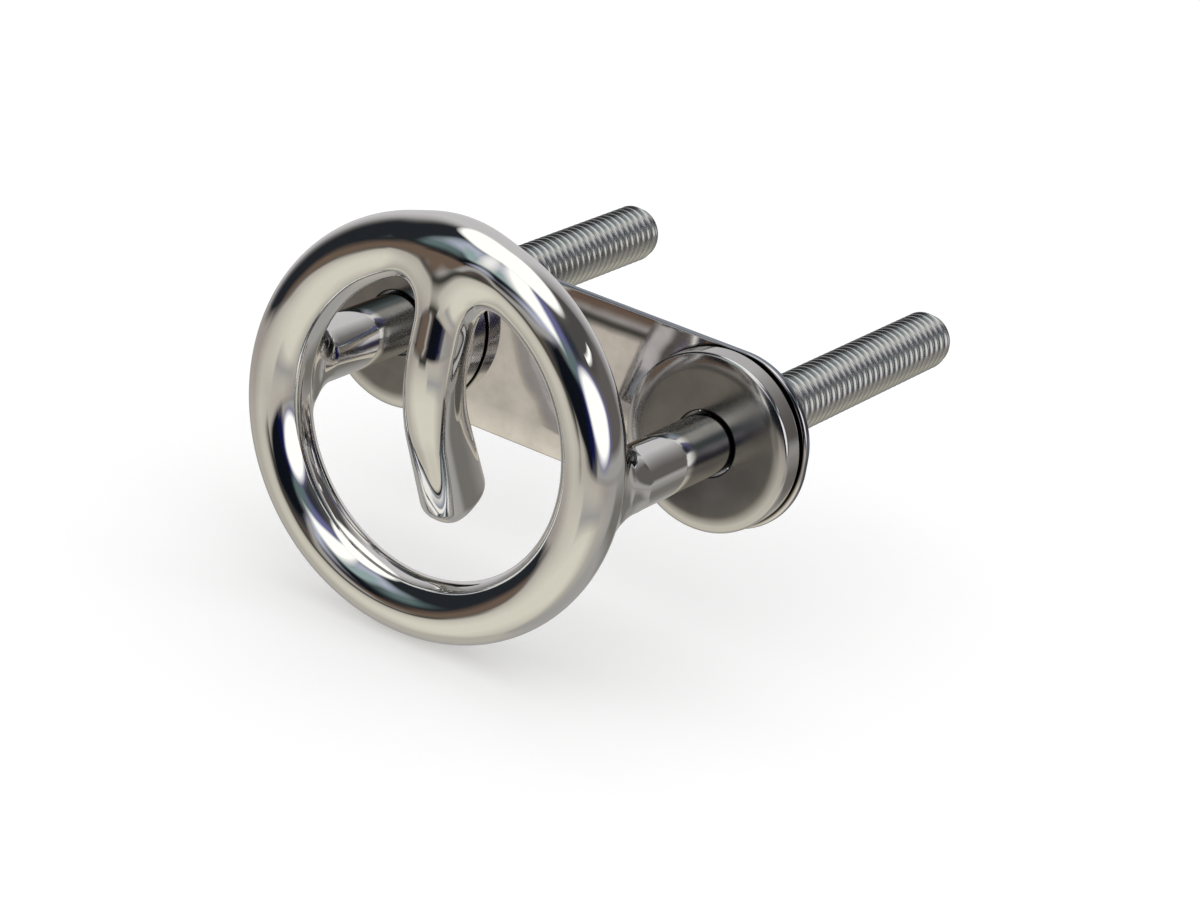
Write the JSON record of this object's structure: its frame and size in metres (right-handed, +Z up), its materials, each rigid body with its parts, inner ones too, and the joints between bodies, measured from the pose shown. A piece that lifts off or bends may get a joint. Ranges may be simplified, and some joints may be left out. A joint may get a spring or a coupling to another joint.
{
  "type": "ski tow eye",
  "caption": "Polished stainless tow eye for a boat's transom: a round ring with a hanging rope tongue, two threaded studs, cover discs and a base plate.",
  "frame": {"origin": "middle of the base plate's back face, which bears on the boat's transom, halfway between the two studs", "axes": "+Y along the studs, out of the plate's back face into the boat; +Z up, towards the tongue's root at the top of the ring; +X from stud to stud, to the right as seen from the ring's side"},
  "size_m": [0.072, 0.0903, 0.0544],
  "materials": {
    "casting_steel": "mirror polished stainless steel",
    "plate_steel": "polished stainless steel",
    "disc_steel": "polished stainless steel"
  },
  "bodies": {
    "root": {"tow_ring": "casting_steel", "base_plate": "plate_steel", "cover_disc_left": "disc_steel", "cover_disc_right": "disc_steel"}
  },
  "joints": []
}
